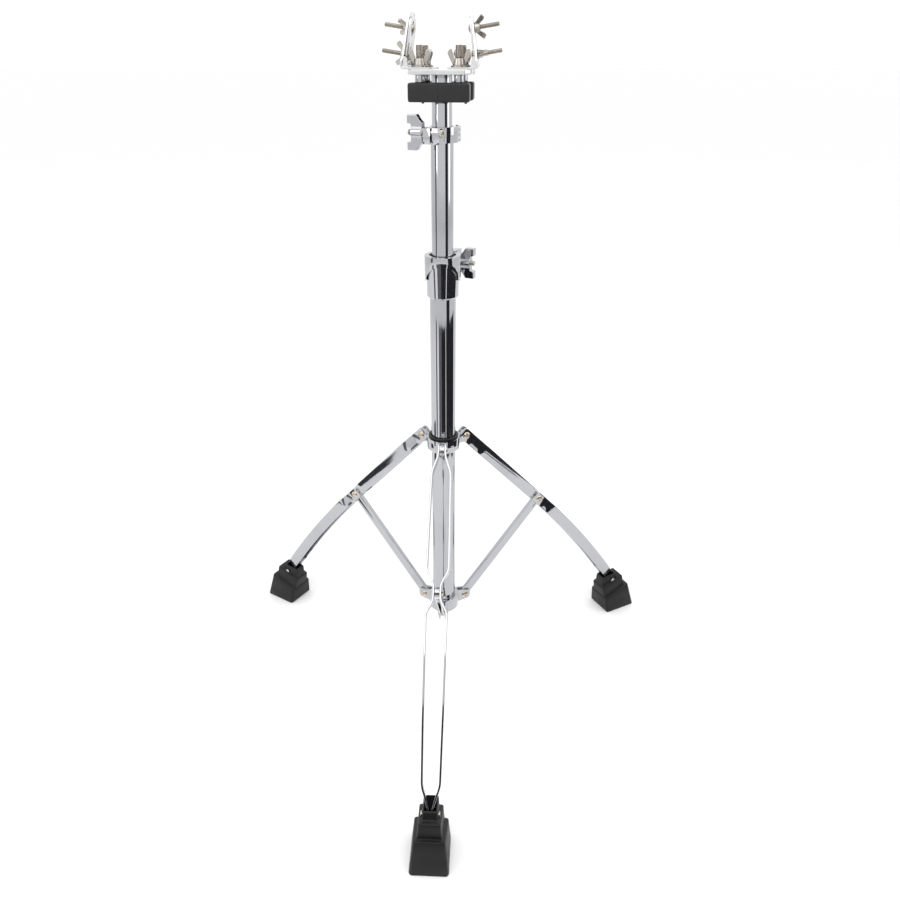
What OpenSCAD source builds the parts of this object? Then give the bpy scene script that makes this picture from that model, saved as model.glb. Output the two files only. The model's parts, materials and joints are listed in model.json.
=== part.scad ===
// Double-braced tripod percussion stand with a bracket head, in millimetres.
// +Z is up, the front leg points along -Y, and the floor is z = 0.
// The origin is on the floor at the middle of the outline that the three feet make.

/* [Tubes] */
// Outer diameter of the lower tube
lower_tube_d = 31.75; // [28:0.25:38]
// Wall of the lower tube
lower_wall = 1.5; // [1.2:0.1:2]
// Length of the lower tube
lower_len = 508; // [440:1:600]
// Outer diameter of the middle tube
middle_tube_d = 25.4; // [24:0.1:26]
// Length of the middle tube
middle_len = 420; // [340:5:480]
// Length of the middle tube that shows above the height clamp
middle_shown = 124.5; // [100:0.5:200]
// Outer diameter of the top tube
top_tube_d = 22.2; // [20:0.1:22.3]
// Wall of the top tube
top_wall = 1.5; // [1.2:0.1:2]
// Length of the top tube
top_len = 300; // [240:5:400]
// Length of the top tube between the memory clamp and the head plate
top_shown = 51; // [44:0.5:120]

/* [Tripod] */
// Distance of the leg and strut pivots from the leg collar's outside
pivot_out = 10.5; // [10:0.5:16]
// Length of each strut, and of each leg from its collar pivot to its strut pivot
link_len = 180.5; // [150:0.5:220]
// Angle of each strut from upright
rest_angle = 43; // [38:0.5:48]
// Length of a leg from its strut pivot to the mouth of its foot
tail_len = 230; // [200:1:280]
// Radius of the gentle downward bend below the strut pivot
bend_r = 1500; // [900:50:3000]
// Width of a leg strip
strip_w = 16; // [14:0.5:20]
// Thickness of a leg strip
strip_t = 2.5; // [2:0.1:3]
// Gap between a leg's two strips at a pivot
pivot_gap = 6.3; // [6:0.1:7]
// Half distance between the strips where the upper half of a leg is widest
upper_belly = 13.6; // [12:0.2:15]
// Half distance between the strips where the lower half of a leg is widest
lower_belly = 12.8; // [11:0.2:15]
// Width of a strut, seen from its side
strut_w = 12; // [10:0.5:14]
// Wall of the pressed strut channel
strut_wall = 1.2; // [1:0.1:1.5]
// Radius of the rivets
rivet_r = 3; // [2.5:0.1:3.2]

/* [Feet] */
// Height of a foot's mouth above the floor, at the middle of the leg
mouth_h = 73.5; // [71:0.5:76]
// Length of a foot on the floor, along its leg
foot_l = 54.8; // [50:0.2:60]
// Width of a foot on the floor
foot_w = 47; // [42:0.5:54]
// Width of a foot's neck
neck_w = 16.8; // [16:0.2:20]
// Slope of a foot's steps
step_tilt = 20; // [16:1:24]

/* [Collars and clamps] */
// Thickness of the leg collar round its tube
collar_wall = 5.625; // [5.125:0.125:8]
// Height of the leg collar
collar_h = 18; // [16:0.5:24]
// Thickness of the cup at the foot of the lower tube
cup_wall = 5.025; // [4.2:0.025:7]
// Height of that cup
cup_h = 23; // [20:0.5:30]
// Thickness of the height clamp's upper band
band_wall = 5.625; // [5.125:0.125:8]
// Thickness of the height clamp's lower band
skirt_wall = 3.325; // [2.7:0.025:4.5]
// Height of the height clamp
clamp_h = 50; // [46:1:60]
// Height of the upper band at the sides
band_h = 29; // [26:0.5:34]
// Thickness of the memory clamp round its tube
memory_wall = 5.5; // [4.8:0.1:7]
// Height of the memory clamp
memory_h = 16; // [15:0.5:24]
// Direction of the height clamp's ears, from +X towards +Y
clamp_turn = 70; // [45:1:90]
// Width of a clamp's split
split = 2.5; // [2:0.1:4]
// Radius of the clamp bolts
clamp_bolt_r = 2.95; // [2.5:0.05:3.4]

/* [Head] */
// Width of the head plate
plate_w = 65; // [62:1:76]
// Depth of the head plate
plate_l = 58; // [56:1:66]
// Thickness of the head plate
plate_t = 5; // [4:0.5:6]
// Turn of the whole head about the tubes
head_yaw = -4.5; // [-45:0.5:45]
// Distance between the head bolts across the stand
bolt_dx = 41; // [38:0.5:46]
// Distance between the head bolts from front to back
bolt_dy = 38; // [37:0.5:42]
// Radius of the head bolts
head_bolt_r = 4; // [3:0.1:4.5]
// Height of the head bolts above the plate
bolt_rise = 22.5; // [20:0.5:34]
// Length of a cushion bar
bar_w = 65; // [58:1:80]
// Depth of a cushion bar
bar_l = 18; // [16:0.2:20]
// Height of a cushion bar
bar_h = 18.5; // [16:0.5:26]
// Gap between the cushion bars and the plate
spacer_h = 7.5; // [5:0.5:14]
// Outer radius of the spacers
spacer_r = 5.4; // [4.7:0.05:6]

/* [Brackets] */
// Distance from the axis to a bracket's inner end
bracket_in = 8; // [7:0.5:11]
// Distance that a bracket's bend stands out past the head plate's edge
bracket_over = 7.5; // [7:0.25:12]
// Depth of a bracket's foot
bracket_foot_l = 54; // [54:1:60]
// Depth of a bracket's upright above its bend
bracket_l = 46; // [40:1:52]
// Thickness of the bracket and extension plates
sheet_t = 2; // [1.5:0.1:2.5]
// Lean of a bracket's upright towards the axis
lean = 8.5; // [0:0.5:12]
// Turn of each bracket on its slots, which opens the pair towards the front
splay = 2.5; // [0:0.5:4]
// Height of the bracket's upright above the plate, along its slope
upright_h = 53.5; // [46:0.5:70]
// Height of the extension plate's top above the plate, along the same slope
extension_top = 49.5; // [46:0.5:70]
// Height of the lower carriage bolt above the plate, along that slope
side_bolt_z = 14; // [13:0.5:18]
// Distance between a bracket's two carriage bolts
side_bolt_dz = 24.5; // [22:0.5:34]
// Radius of the carriage bolts
side_bolt_r = 2.5; // [2.4:0.05:3]
// Length of a carriage bolt's shank
side_bolt_len = 30; // [29:0.5:50]
// Length of the thread that stands free outside a carriage bolt's wing nut
side_thread = 13.5; // [10:0.5:13.5]
// Radius of that free thread
side_thread_r = 2.3; // [2:0.05:2.3]

/* [Hidden] */
$fn = 64;

eps = 0.01;
run = 0.06;       // radial clearance of a pivot or a turning fit
slip = 0.3;       // radial clearance of the sliding leg collar and of the two opened leg pivots
side_gap = 0.15;  // clearance on each side of a pivot eye
front = -90;      // directions of the legs, from +X towards +Y
right = 30;
left = 150;
legs = [front, right, left];

// Outer diameters of the fittings round the tubes
collar_d = lower_tube_d + 2 * collar_wall;
cup_d = lower_tube_d + 2 * cup_wall;
band_d = lower_tube_d + 2 * band_wall;
skirt_d = lower_tube_d + 2 * skirt_wall;
memory_d = middle_tube_d + 2 * memory_wall;
pivot_r = collar_d / 2 + pivot_out;

// Legs, in a leg's own plane: u runs down the straight part from the collar pivot, v is square to it.
neck_u = link_len + tail_len;
leg_end = neck_u + 30;
function sag(u) = u < link_len ? 0 : -(u - link_len) * (u - link_len) / (2 * bend_r);
function dip(u) = u < link_len ? 0 : atan((u - link_len) / bend_r);
function leg_r(u, v) = pivot_r + u * sin(rest_angle) + v * cos(rest_angle);
function leg_drop(u, v) = u * cos(rest_angle) - v * sin(rest_angle);
top_pivot_z = mouth_h + leg_drop(neck_u, sag(neck_u));
lug_pivot_z = top_pivot_z - 2 * link_len * cos(rest_angle);
eye_t = pivot_gap - 2 * side_gap;
pinch = (pivot_gap + strip_t) / 2;
toe = strip_t / 2 + 1.35;
strip_end = 8.5;     // a strip runs this far past its collar pivot
strip_corner = 4;

// Half distance between the two strips' middles along the leg, as [place, half distance].
spread = [[-9, pinch], [9, pinch], [31, 11.8], [link_len * 0.55, upper_belly - 0.6],
    [link_len - 26, upper_belly], [link_len - 10, pinch], [link_len + 10, pinch],
    [link_len + 25, lower_belly], [link_len + tail_len * 0.62, 11.8], [neck_u - 9, 10.6],
    [neck_u + 2.5, 6.4], [neck_u + 16, toe], [leg_end, toe]];

// Feet: their middle lies outside the mouth, because they lean in to meet the leg.
foot_lean = 25;
foot_r = leg_r(neck_u, sag(neck_u)) + foot_lean;
foot_corner = 3;
screw_r = 2;
screw_u = neck_u + 22;

// The feet's outline reaches this far forwards and backwards from the tube's axis.
reach_front = foot_r + foot_l / 2;
reach_back = foot_r * sin(right) + (foot_l / 2 - foot_corner) * sin(right)
    + (foot_w / 2 - foot_corner) * cos(right) + foot_corner;
axis_y = (reach_front - reach_back) / 2;

// Heights up the tubes
collar_z = top_pivot_z - 12.7;
ring_h = 3;
ring_r = collar_d / 2 - 2;
lock_z = collar_z + 9;
tongue_tip = 9;
cup_floor = 2.5;
cup_z = lug_pivot_z - 11.2;
lower_z = cup_z + cup_floor;
lower_top = lower_z + lower_len;
mouth = 7;
clamp_z = lower_top + mouth - clamp_h;
clamp_top = clamp_z + clamp_h;
flange_h = 2.5;
flange_r = lower_tube_d / 2 - 0.3;
bush_h = 45;
middle_top = clamp_top + middle_shown;
middle_bottom = middle_top - middle_len;
middle_bore_r = top_tube_d / 2 + 0.3;
memory_z = middle_top - 1;
memory_top = memory_z + memory_h;
memory_bush_h = memory_h - 1 - run;
third = memory_h / 3;
top_tube_top = memory_top + top_shown;
plate_z = top_tube_top;
plate_top = plate_z + plate_t;

// Clamp ears, bolts and wing nuts
ear_half = 9.5;
clamp_bolt_x = band_d / 2 + 10.5;
clamp_bolt_z = clamp_top - 15;
memory_turn = clamp_turn + 180;
memory_bolt_x = memory_d / 2 + 7.8;
memory_bolt_z = memory_z + 11.2;
hinge_turn = 35;
hinge_x = memory_d / 2 + 1.3;
hinge_r = 4;
hinge_pin_r = 1.5;
nut_seat = ear_half + 1.2;
wing_len = 17.5;
wing_hub = 13;
wing_span = 36;
wing_t = 8;
wing_back = 6.7; // the wings' tips stand this far out from the nut's seat, so that they pass the clamp
hub_r = 6.5;

// Head
bar_top = plate_z - spacer_h;
bar_z = bar_top - bar_h;
washer_r = 8.5;
washer_t = 1.6;
nut_base = plate_top + sheet_t + washer_t;
slot_w = 2 * head_bolt_r + 0.8;
slot_len = 20;
bolt_x = bolt_dx / 2;
bolt_y = bolt_dy / 2;
head_nut_span = 24;
head_nut_turns = [-8, 8, 45, -45]; // front left, front right, rear right, rear left
bar_y = top_tube_d / 2 + 0.7 + bar_l / 2;
bolt_start = 9;        // the head bolts start this far above a cushion bar's underside
bar_screw_r = 1.1;
bar_screw_dx = 45.6;     // between a cushion bar's two screws
bar_screw_shift = 5.2;   // of the pair from the bar's middle
bar_screw_l = 7;       // of a screw inside its bar
screw_tip = 1.5;       // of a screw's tip below the bar

// Brackets, in the upright's own plane: w runs up its outer face from the plate's top.
bracket_out = plate_w / 2 + bracket_over;
bend_out = 4;      // outer radius of a bracket's bend
tab_gap = 1.2;     // a bracket's tab stands this far off the plate's edge
sheet_gap = 0.1;   // clearance between a bracket and its extension
extension_l = 30;
extension_h = 40;
side_slot_w = 2 * side_bolt_r + 0.4;
side_slot_len = side_slot_w + 9;
dome_r = 5.4;
dome_h = 2.6;
nut_gap = 0.15;    // clearance between a bracket and the wing nuts outside it

module tower() translate([0, axis_y, 0]) children();
module leg_plane(turn) tower() rotate([0, 0, turn]) children();

// Turns a leg's own plane upright: x runs outwards, y runs up and z runs across the leg.
module in_plane() rotate([90, 0, 0]) children();

// Places children in the leg's straight frame: x is u, y is v, z runs across.
module along_leg(turn) leg_plane(turn) in_plane()
    translate([pivot_r, top_pivot_z, 0]) rotate([0, 0, rest_angle - 90]) children();

module ring(r_out, r_in, h) difference() {
    cylinder(r = r_out, h = h);
    translate([0, 0, -1]) cylinder(r = r_in, h = h + 2);
}

module centred_pin(r, l) translate([0, 0, -l / 2]) cylinder(r = r, h = l);

module dome(r, h) {
    ball_r = (r * r + h * h) / (2 * h);
    intersection() {
        translate([0, 0, h - ball_r]) sphere(r = ball_r);
        cylinder(r = r + 1, h = h + 1);
    }
}

module rivet(grip) {
    centred_pin(rivet_r, grip + 2 * eps);
    for (s = [0, 1]) mirror([0, 0, s]) translate([0, 0, grip / 2]) dome(5.2, 2);
}

module sector(a0, a1) linear_extrude(height = 400)
    polygon(concat([[0, 0]], [for (i = [0:6]) let(a = a0 + (a1 - a0) * i / 6) 80 * [cos(a), sin(a)]]));

// ---- Lower tube, its cup and the strut lugs ----

module lower_tube() color("silver") tower() difference() {
    translate([0, 0, lower_z]) ring(lower_tube_d / 2, lower_tube_d / 2 - lower_wall, lower_len);
    rotate([0, 0, clamp_turn])
        translate([0, -split / 2, lower_top - 35]) cube([lower_tube_d, split, 36]);
}

module lug_outline() {
    back = cup_d / 2 - 2.5 - pivot_r;
    polygon([[back, -8.5], [5.5, -7], [8.2, -4.2], [8.6, 4.2], [6, 7.4], [back, 10.5]]);
}

module lower_collar() color("lightgray") difference() {
    union() {
        tower() translate([0, 0, cup_z]) difference() {
            union() {
                cylinder(r1 = cup_d / 2 - 3, r2 = cup_d / 2, h = 4);
                translate([0, 0, 4 - eps]) cylinder(r = cup_d / 2, h = cup_h - 4);
            }
            translate([0, 0, cup_floor]) cylinder(r = lower_tube_d / 2 + run, h = cup_h);
        }
        for (turn = legs, s = [0, 1]) leg_plane(turn) mirror([0, s, 0]) in_plane()
            translate([pivot_r, lug_pivot_z, pivot_gap / 2])
                linear_extrude(height = strip_t) lug_outline();
    }
    for (turn = legs) leg_plane(turn) in_plane()
        translate([pivot_r, lug_pivot_z, 0]) centred_pin(rivet_r + run, 30);
}

module lug_rivets() color("tan") for (turn = legs) leg_plane(turn) in_plane()
    translate([pivot_r, lug_pivot_z, 0]) rivet(pivot_gap + 2 * strip_t);

// ---- Height clamp ----

module ear_block(inner, bolt_x, h) {
    translate([inner, -ear_half, 0]) cube([bolt_x - inner + 4.5, 2 * ear_half, h]);
}

module height_clamp() color("silver") tower() difference() {
    union() {
        translate([0, 0, clamp_z]) cylinder(r1 = skirt_d / 2 - 1.5, r2 = skirt_d / 2, h = 2);
        translate([0, 0, clamp_z + 2 - eps]) cylinder(r = skirt_d / 2, h = clamp_h - 2);
        difference() {
            translate([0, 0, clamp_top - band_h]) cylinder(r = band_d / 2, h = band_h);
            translate([0, 0, clamp_top - band_h])
                rotate([90, 0, 0]) cylinder(r = band_d / 2 - 2.3, h = band_d);
        }
        rotate([0, 0, clamp_turn]) translate([0, 0, clamp_top - 24])
            ear_block(skirt_d / 2 - 2, clamp_bolt_x, 25);
    }
    translate([0, 0, clamp_z - 1]) cylinder(r = lower_tube_d / 2 + run, h = clamp_h + 4);
    rotate([0, 0, clamp_turn]) {
        translate([0, -split / 2, clamp_top - 34]) cube([60, split, 40]);
        translate([clamp_bolt_x, 0, clamp_bolt_z]) rotate([90, 0, 0]) centred_pin(clamp_bolt_r + run, 40);
    }
}

// A bolt along -Y: cheese head on the +Y side of the ears, plain end past the wing nut.
module ear_bolt() rotate([90, 0, 0]) {
    translate([0, 0, -ear_half - 1]) cylinder(r = clamp_bolt_r, h = nut_seat + ear_half + wing_len + 1);
    translate([0, 0, -ear_half - 3]) cylinder(r = 4.6, h = 3);
    translate([0, 0, ear_half]) ring(5.8, clamp_bolt_r + run, nut_seat - ear_half);
}

module wing_outline() {
    tip = wing_span / 2;
    side = [[0, 6], [0.1, 10], [2.5, 12], [4.2, 14], [wing_back, tip], [wing_len, tip],
        [wing_len, tip * 0.52], [wing_hub, tip * 0.46]];
    polygon(concat(side, [for (i = [len(side) - 1:-1:0]) [side[i][0], -side[i][1]]]));
}

// Cast wing grip: its axis runs along -Y from its seat, and its wings stand along Z.
module wing_grip(bore) difference() {
    union() {
        rotate([90, 0, 0]) cylinder(r = hub_r, h = wing_hub);
        translate([-wing_t / 2, 0, 0]) rotate([90, 0, -90]) mirror([0, 0, 1])
            linear_extrude(height = wing_t) wing_outline();
    }
    if (bore > 0) translate([0, 1, 0]) rotate([90, 0, 0]) cylinder(r = bore, h = wing_len + 4);
}

module at_height_bolt() tower() rotate([0, 0, clamp_turn])
    translate([clamp_bolt_x, 0, clamp_bolt_z]) children();

module height_clamp_bolt() color("gray") at_height_bolt() ear_bolt();
module height_wing_nut() color("silver") at_height_bolt()
    translate([0, -nut_seat, 0]) wing_grip(clamp_bolt_r + run);

module lower_bush() color("black") tower() difference() {
    union() {
        translate([0, 0, lower_top - bush_h])
            cylinder(r = lower_tube_d / 2 - lower_wall - run, h = bush_h + flange_h);
        translate([0, 0, lower_top + run]) cylinder(r = flange_r, h = flange_h - run);
    }
    translate([0, 0, lower_top - bush_h - 1])
        cylinder(r = middle_tube_d / 2 + run, h = bush_h + flange_h + 2);
}

// ---- Middle tube and memory clamp ----

module middle_tube() color("silver") tower()
    translate([0, 0, middle_bottom]) ring(middle_tube_d / 2, middle_bore_r, middle_len);

module knuckle(z0, h) rotate([0, 0, hinge_turn])
    translate([hinge_x, 0, memory_z + z0]) cylinder(r = hinge_r, h = h);

module memory_band(a0, a1) {
    intersection() {
        translate([0, 0, memory_z]) union() {
            cylinder(r = memory_d / 2, h = memory_h);
            rotate([0, 0, memory_turn]) ear_block(memory_d / 2 - 3, memory_bolt_x, memory_h);
        }
        translate([0, 0, memory_z - 1]) sector(a0, a1);
    }
}

module memory_cuts() {
    translate([0, 0, memory_z - 1]) cylinder(r = middle_tube_d / 2 + run, h = memory_h + 2);
    rotate([0, 0, memory_turn]) {
        translate([0, -split / 2, memory_z - 1]) cube([60, split, memory_h + 2]);
        translate([memory_bolt_x, 0, memory_bolt_z]) rotate([90, 0, 0]) centred_pin(clamp_bolt_r + run, 40);
    }
    rotate([0, 0, hinge_turn]) {
        translate([hinge_x, 0, memory_z - 1]) cylinder(r = hinge_pin_r + run, h = memory_h + 2);
        translate([0, -0.1, memory_z - 1]) cube([hinge_x - hinge_r + 0.4, 0.2, memory_h + 2]);
    }
}

module memory_clamp_rear() color("silver") tower() difference() {
    union() {
        difference() {
            memory_band(hinge_turn, memory_turn);
            knuckle_room(third, third);
        }
        for (z = [0, 2]) knuckle(z * third, third);
    }
    memory_cuts();
}

module knuckle_room(z0, h) rotate([0, 0, hinge_turn]) translate([hinge_x, 0, memory_z + z0 - 0.1])
    cylinder(r = hinge_r + 0.2, h = h + 0.2);

module memory_clamp_front() color("silver") tower() difference() {
    union() {
        difference() {
            memory_band(memory_turn, hinge_turn + 360);
            for (z = [0, 2]) knuckle_room(z * third, third);
        }
        knuckle(third + 0.1, third - 0.2);
    }
    memory_cuts();
}

module memory_hinge_pin() color("gray") tower() rotate([0, 0, hinge_turn])
    translate([hinge_x, 0, memory_z - 1.2]) cylinder(r = hinge_pin_r, h = memory_h + 2);

module at_memory_bolt() tower() rotate([0, 0, memory_turn])
    translate([memory_bolt_x, 0, memory_bolt_z]) children();

module memory_clamp_bolt() color("gray") at_memory_bolt() ear_bolt();
module memory_wing_nut() color("silver") at_memory_bolt()
    translate([0, -nut_seat, 0]) wing_grip(clamp_bolt_r + run);

module upper_bush() color("black") tower() translate([0, 0, middle_top + run])
    ring(middle_tube_d / 2, top_tube_d / 2 + run, memory_bush_h);

// ---- Head ----

module top_tube() color("silver") tower()
    translate([0, 0, top_tube_top - top_len]) ring(top_tube_d / 2, top_tube_d / 2 - top_wall, top_len);

module on_head() tower() rotate([0, 0, head_yaw]) children();

module at_head_bolts() on_head() for (x = [-1, 1], y = [-1, 1])
    translate([x * bolt_x, y * bolt_y, 0]) children();

module plate_outline() {
    cut = 5;
    x = plate_w / 2;
    y = plate_l / 2;
    polygon([[-x, cut - y], [cut - x, -y], [x - cut, -y], [x, cut - y],
        [x, y - cut], [x - cut, y], [cut - x, y], [-x, y - cut]]);
}

module head_plate() color("white") difference() {
    on_head() translate([0, 0, plate_z]) linear_extrude(height = plate_t) plate_outline();
    at_head_bolts() translate([0, 0, plate_z - 1]) cylinder(r = head_bolt_r + 0.2, h = plate_t + 2);
}

module cushion(side) color("dimgray") difference() {
    on_head() translate([-bar_w / 2, side * bar_y - bar_l / 2, bar_z]) cube([bar_w, bar_l, bar_h]);
    at_head_bolts() translate([0, 0, bar_z + bolt_start - 1]) cylinder(r = head_bolt_r + run, h = bar_h);
    screw_places() translate([0, 0, bar_z - 1]) cylinder(r = bar_screw_r + run, h = bar_screw_l + 1.5);
}
module front_cushion() cushion(-1);
module rear_cushion() cushion(1);

module screw_places() on_head() for (s = [-1, 1], x = [-1, 1])
    translate([s * (bar_screw_shift + x * bar_screw_dx / 2), -s * bar_y, 0]) children();

module cushion_screws() color("black") screw_places() {
    translate([0, 0, bar_z - screw_tip]) cylinder(r1 = 1, r2 = 1.8, h = screw_tip - eps);
    translate([0, 0, bar_z - 2 * eps]) cylinder(r = bar_screw_r, h = bar_screw_l);
}

module cushion_spacers() color("silver") at_head_bolts()
    translate([0, 0, bar_top]) ring(spacer_r, head_bolt_r + run, spacer_h);

module head_bolts() color("gray") at_head_bolts()
    translate([0, 0, bar_z + bolt_start])
        cylinder(r = head_bolt_r, h = plate_top + bolt_rise - bar_z - bolt_start);

module head_washers() color("silver") at_head_bolts()
    translate([0, 0, plate_top + sheet_t]) ring(washer_r, head_bolt_r + 0.2, washer_t);

// Wing nut with its axis along +Z from its seat and its wings in the XZ plane.
module wing_nut(bore, base_r, hub_h, span, top, t) difference() {
    union() {
        cylinder(r1 = base_r, r2 = base_r * 0.78, h = hub_h);
        for (s = [0, 1]) mirror([s, 0, 0]) translate([0, t / 2, 0]) rotate([90, 0, 0])
            linear_extrude(height = t) polygon([[base_r * 0.5, 0.8], [base_r, 0.8],
                [span / 2, top * 0.7], [span / 2 - 0.5, top * 0.83], [span / 2 - 3, top],
                [span / 2 - 4.6, top * 0.94], [base_r * 0.7, hub_h * 0.9]]);
    }
    translate([0, 0, -1]) cylinder(r = bore, h = top + 2);
}

module head_nut(x, y, turn) color("silver") on_head() translate([x * bolt_x, y * bolt_y, nut_base])
    rotate([0, 0, turn]) wing_nut(head_bolt_r + run, 6.8, 6.5, head_nut_span, 15.5, 3.4);
module front_left_head_nut() head_nut(-1, -1, head_nut_turns[0]);
module front_right_head_nut() head_nut(1, -1, head_nut_turns[1]);
module rear_right_head_nut() head_nut(1, 1, head_nut_turns[2]);
module rear_left_head_nut() head_nut(-1, 1, head_nut_turns[3]);

// ---- Brackets ----

// Places the right-hand parts with side = 1 and their mirror image with side = -1.
// Inside, the bracket's bend line runs along Y and x = 0 is the axis of the stand.
module on_side(side) on_head() mirror([side < 0 ? 1 : 0, 0, 0])
    translate([bolt_x, 0, plate_top]) rotate([0, 0, splay]) translate([-bolt_x, 0, 0]) children();

// In the upright's frame x points out through its outer face and z runs up the slope.
module on_upright() translate([bracket_out, 0, 0]) rotate([0, -lean, 0]) children();

module slot_2d(w, l) {
    square([l - w, w], center = true);
    for (s = [-1, 1]) translate([s * (l - w) / 2, 0]) circle(d = w);
}

// Section of a bracket: its foot, its bend and its leaning upright.
module bracket_section() {
    bend_x = bracket_out - bend_out * (1 + sin(lean)) / cos(lean);
    bend = [for (i = [0:6]) let(a = -90 + i * (90 + lean) / 6) [cos(a), sin(a)]];
    top = [bracket_out - upright_h * sin(lean), upright_h * cos(lean)];
    polygon(concat([[bracket_in, 0]], [for (p = bend) [bend_x, bend_out] + bend_out * p],
        [top, top - sheet_t * [cos(lean), sin(lean)]],
        [for (i = [6:-1:0]) [bend_x, bend_out] + (bend_out - sheet_t) * bend[i]], [[bracket_in, sheet_t]]));
}

// Outline of a bracket seen square to its upright: as wide as the foot below, and rounded at the top.
module bracket_outline() {
    foot_y = bracket_foot_l / 2 + 1;
    top_l = bracket_l - 14;
    corner = 6;
    polygon([[-foot_y, -15], [foot_y, -15], [foot_y, 7.5], [bracket_l / 2, 11],
        [top_l / 2, upright_h - corner], [top_l / 2 - corner * 0.3, upright_h - corner * 0.3],
        [top_l / 2 - corner, upright_h + 1], [corner - top_l / 2, upright_h + 1],
        [corner * 0.3 - top_l / 2, upright_h - corner * 0.3], [-top_l / 2, upright_h - corner],
        [-bracket_l / 2, 11], [-foot_y, 7.5]]);
}

// Gussets stiffen the bend at both sides, and the tab under the foot hooks over the plate's edge.
module bracket(side) color("silver") on_side(side) difference() {
    union() {
        intersection() {
            translate([0, bracket_foot_l / 2, 0]) rotate([90, 0, 0])
                linear_extrude(height = bracket_foot_l) bracket_section();
            on_upright() translate([-60, 0, 0]) rotate([90, 0, 90])
                linear_extrude(height = 80) bracket_outline();
        }
        for (s = [0, 1]) mirror([0, s, 0]) translate([bracket_out, bracket_l / 2 - 0.8, sheet_t * 0.6])
            rotate([90, 0, 0]) linear_extrude(height = sheet_t)
                polygon([[-8.5, 0], [-1.5, 0], [-2.8, 11], [-6.2, 10.5], [-7.4, 8.5]]);
        translate([plate_w / 2 + tab_gap, -3, -5]) cube([1.6, 6, 5.5]);
    }
    for (s = [-1, 1]) translate([bolt_x, s * bolt_y, -1])
        linear_extrude(height = sheet_t + 1.5) slot_2d(slot_w, slot_len);
    side_slots();
}

// The slots that the carriage bolts pass through, in a bracket and in its extension.
module side_slots() on_upright() for (z = [0, 1]) translate([-10, 0, side_bolt_z + z * side_bolt_dz])
    rotate([0, 90, 0]) linear_extrude(height = 20) slot_2d(side_slot_w, side_slot_len);

module left_bracket() bracket(-1);
module right_bracket() bracket(1);

module extension(side) color("lightsteelblue") on_side(side) difference() {
    on_upright() translate([-2 * sheet_t - sheet_gap, 0, 0]) rotate([90, 0, 90])
        linear_extrude(height = sheet_t) {
            x = extension_l / 2;
            low = extension_top - extension_h;
            polygon([[-x, low], [x, low], [x, extension_top - 8], [x - 2.4, extension_top - 2.4],
                [x - 8, extension_top], [8 - x, extension_top], [2.4 - x, extension_top - 2.4],
                [-x, extension_top - 8]]);
        }
    side_slots();
}
module left_extension() extension(-1);
module right_extension() extension(1);

module at_side_bolt(side, z) on_side(side) on_upright()
    translate([0, 0, side_bolt_z + z * side_bolt_dz]) rotate([0, 90, 0]) children();

module carriage_bolts(side) color("gray") for (z = [0, 1]) at_side_bolt(side, z) {
    seat = -2 * sheet_t - sheet_gap;
    translate([0, 0, seat - eps]) cylinder(r = side_bolt_r, h = side_bolt_len - side_thread + eps);
    translate([0, 0, seat + side_bolt_len - side_thread]) cylinder(r = side_thread_r, h = side_thread);
    translate([0, 0, seat]) mirror([0, 0, 1]) dome(dome_r, dome_h);
}
module left_carriage_bolts() carriage_bolts(-1);
module right_carriage_bolts() carriage_bolts(1);

module side_nut(side, z, turn) color("silver") at_side_bolt(side, z) translate([0, 0, nut_gap])
    rotate([0, 0, turn]) wing_nut(side_bolt_r + run, 4.6, 5.5, 24, 11, 2.6);
module left_lower_nut() side_nut(-1, 0, 10);
module left_upper_nut() side_nut(-1, 1, 55);
module right_lower_nut() side_nut(1, 0, 80);
module right_upper_nut() side_nut(1, 1, 25);

// ---- Leg collar ----

module leg_collar() color("silver") difference() {
    union() {
        tower() translate([0, 0, collar_z]) {
            cylinder(r1 = collar_d / 2 - 2, r2 = collar_d / 2, h = 2.5);
            translate([0, 0, 2.5 - eps]) cylinder(r = collar_d / 2, h = collar_h - 2.5);
        }
        for (turn = legs) leg_plane(turn) in_plane() {
            translate([pivot_r, top_pivot_z, 0]) centred_pin(tongue_tip - 1.5, eye_t);
            translate([collar_d / 2 - 3, collar_z + 3, -eye_t / 2])
                cube([pivot_r - collar_d / 2 + 3, collar_h - 4, eye_t]);
        }
        leg_plane(90) translate([collar_d / 2 - 2, 0, lock_z]) rotate([0, 90, 0]) cylinder(r = 7, h = 7);
    }
    tower() translate([0, 0, collar_z - 1]) cylinder(r = lower_tube_d / 2 + slip, h = collar_h + 2);
    for (i = [0:2]) leg_plane(legs[i]) in_plane()
        translate([pivot_r, top_pivot_z, 0]) centred_pin(rivet_r + (i == 0 ? run : slip), 30);
    leg_plane(90) translate([5, 0, lock_z]) rotate([0, 90, 0]) cylinder(r = clamp_bolt_r + run, h = 40);
}

module collar_ring() color("black") tower() translate([0, 0, collar_z + collar_h])
    ring(ring_r, lower_tube_d / 2 + slip, ring_h);

module collar_lock_bolt() color("silver") leg_plane(90)
    translate([collar_d / 2 + 5.5, 0, lock_z]) rotate([0, 0, 90]) {
        wing_grip(0);
        shank = collar_d / 2 + 5.5 - lower_tube_d / 2 - slip;
        rotate([-90, 0, 0]) translate([0, 0, -1]) cylinder(r = clamp_bolt_r, h = shank + 1);
    }

// ---- Struts ----

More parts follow.
